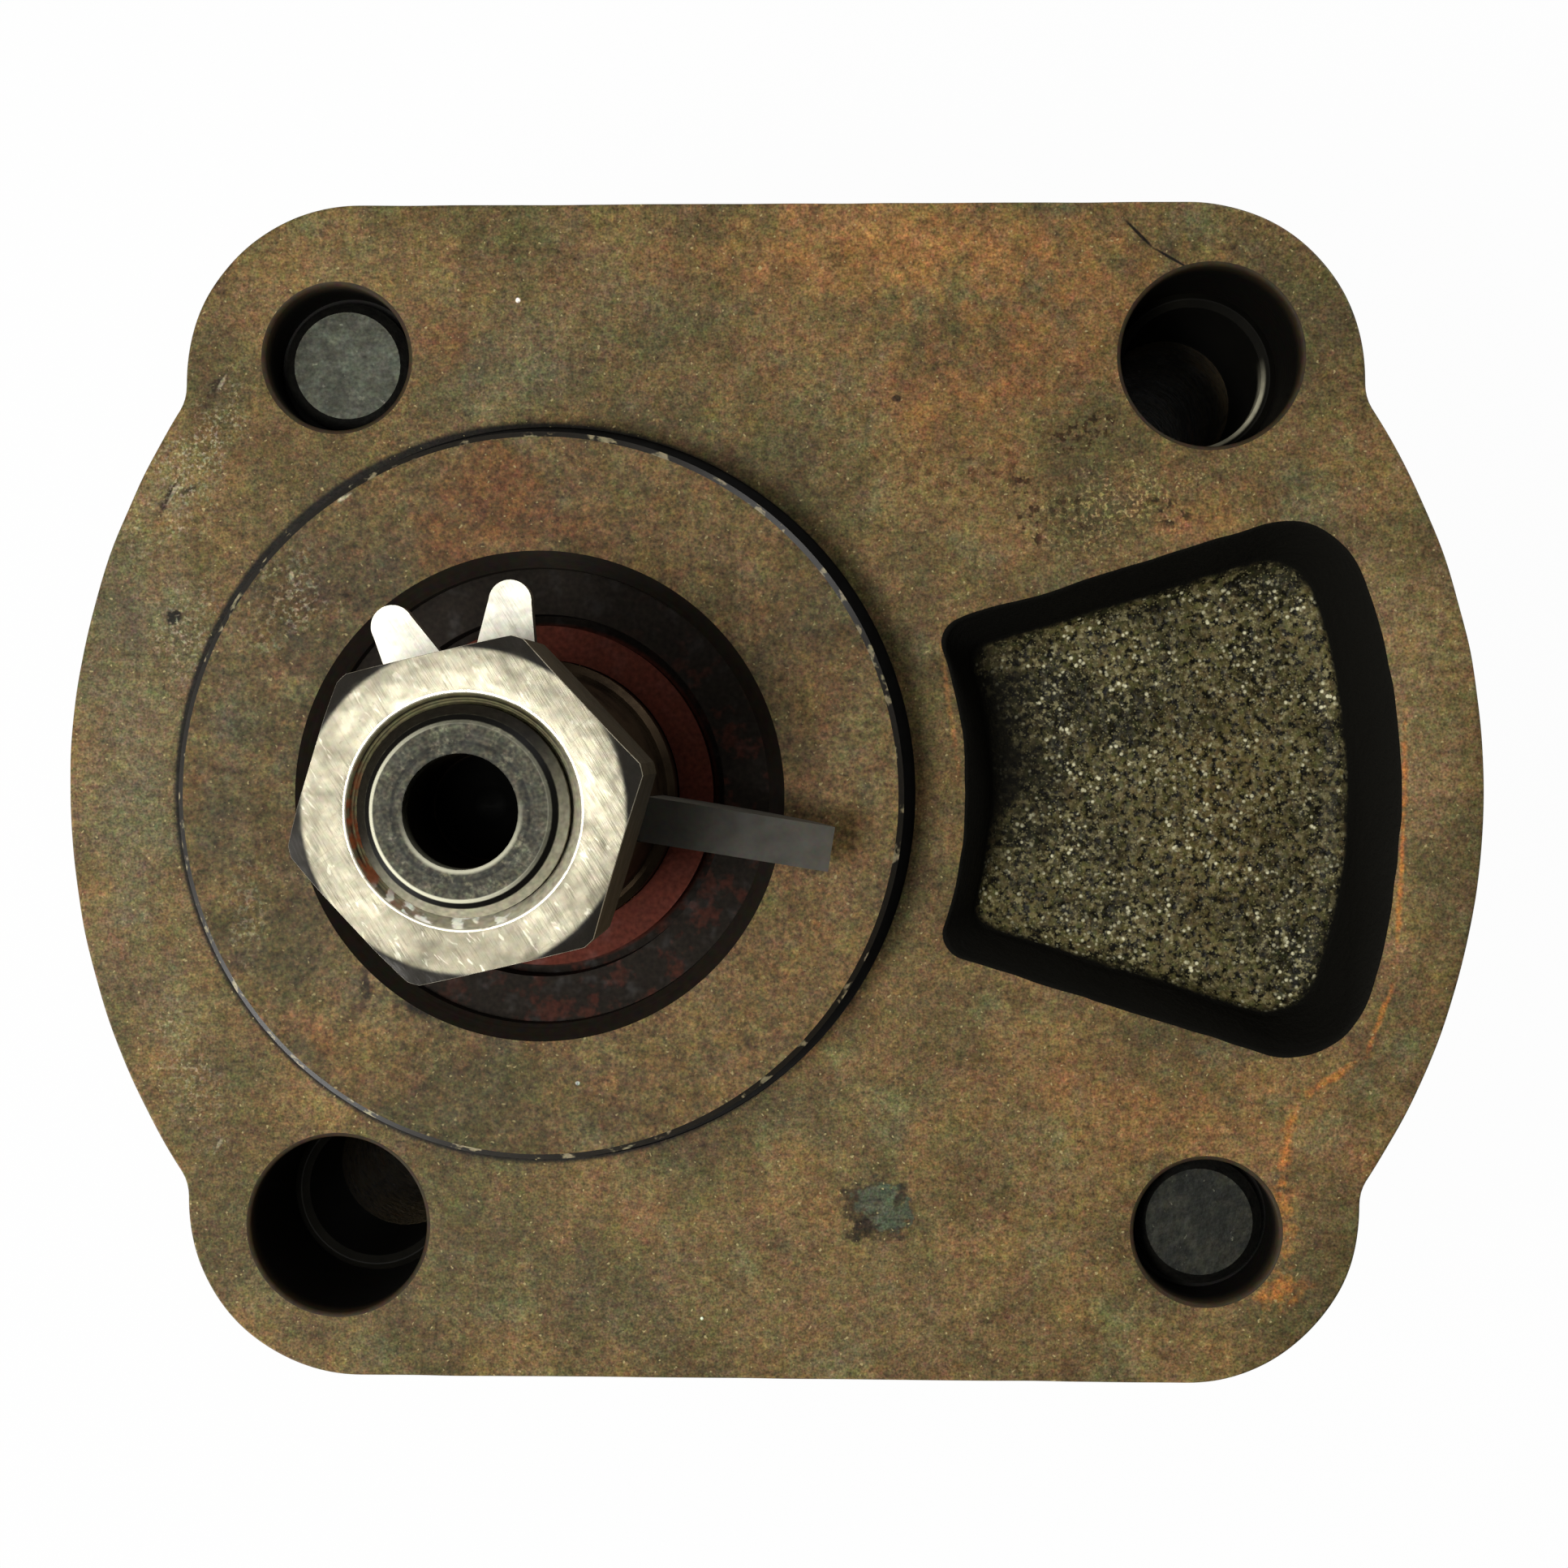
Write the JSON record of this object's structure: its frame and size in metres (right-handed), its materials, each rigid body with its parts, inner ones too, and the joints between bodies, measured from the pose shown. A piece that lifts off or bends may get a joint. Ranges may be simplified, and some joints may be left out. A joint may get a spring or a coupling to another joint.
{
  "type": "hydraulic gear pump",
  "caption": "Cast gear pump: square-lobed flange with a round pilot, tapered keyed drive shaft with nut and tab washer, threaded side ports and a pair of meshed gears inside.",
  "frame": {"origin": "drive shaft axis at the mounting face of the front cover, at the root of the pilot", "axes": "+Z out of the pump along the drive shaft; +X from the drive gear towards the driven gear; +Y towards the outlet side"},
  "size_m": [0.1032, 0.0858, 0.14],
  "materials": {
    "front_casting": "oiled, mottled brown casting with machined faces",
    "body_casting": "oiled, mottled brown casting",
    "rear_casting": "oiled, mottled brown casting",
    "shaft_steel": "ground and lightly stained steel",
    "gear_steel": "ground hardened steel",
    "nut_zinc": "worn bright zinc plate",
    "washer_zinc": "bright zinc plate",
    "key_steel": "plain drawn steel",
    "bolt_steel": "dark oiled steel",
    "bolt_washer_steel": "dark oiled steel",
    "dowel_steel": "ground steel",
    "seal_rubber": "red-brown fluoro rubber",
    "seal_steel": "pressed steel",
    "spring_steel": "spring steel",
    "bearing_alloy": "machined bearing alloy",
    "bush_bronze": "lined bronze",
    "seal_black": "black nitrile rubber",
    "backup_plastic": "natural nylon"
  },
  "bodies": {
    "housing": {"front_cover": "front_casting", "pump_body": "body_casting", "rear_cover": "rear_casting", "shaft_seal_lip": "seal_rubber", "shaft_seal_case": "seal_steel", "seal_garter_spring": "spring_steel", "front_sleeve_dowels": "dowel_steel", "rear_sleeve_dowels": "dowel_steel", "clamp_bolts": "bolt_steel", "clamp_bolt_washers": "bolt_washer_steel", "front_bearing_block_drive": "bearing_alloy", "front_bush_drive": "bush_bronze", "front_bearing_block_driven": "bearing_alloy", "front_bush_driven": "bush_bronze", "front_body_seal": "seal_black", "front_balance_seal": "seal_black", "front_backup_ring": "backup_plastic", "rear_bearing_block_drive": "bearing_alloy", "rear_bush_drive": "bush_bronze", "rear_bearing_block_driven": "bearing_alloy", "rear_bush_driven": "bush_bronze", "rear_body_seal": "seal_black", "rear_balance_seal": "seal_black", "rear_backup_ring": "backup_plastic"},
    "drive_shaft": {"drive_gear_shaft": "shaft_steel", "shaft_nut": "nut_zinc", "tab_washer": "washer_zinc"},
    "key": {"woodruff_key": "key_steel"},
    "driven_gear": {"driven_gear_shaft": "gear_steel"}
  },
  "joints": [
    {"name": "drive_spin", "type": "hinge", "parent": "housing", "child": "drive_shaft", "pos_m": [0, 0, 0], "axis": [0, 0, 1], "continuous": true},
    {"name": "driven_spin", "type": "hinge", "parent": "housing", "child": "driven_gear", "pos_m": [0.03175, 0, 0], "axis": [0, 0, 1], "continuous": true},
    {"name": "key_rock", "type": "hinge", "parent": "drive_shaft", "child": "key", "pos_m": [0.01116, -0.00177, 0.0175], "axis": [0.1564, 0.9877, 0], "range_deg": [0, 90]}
  ],
  "couplings": [
    {"joint": "driven_spin", "follows": "drive_spin", "ratio": -1}
  ]
}
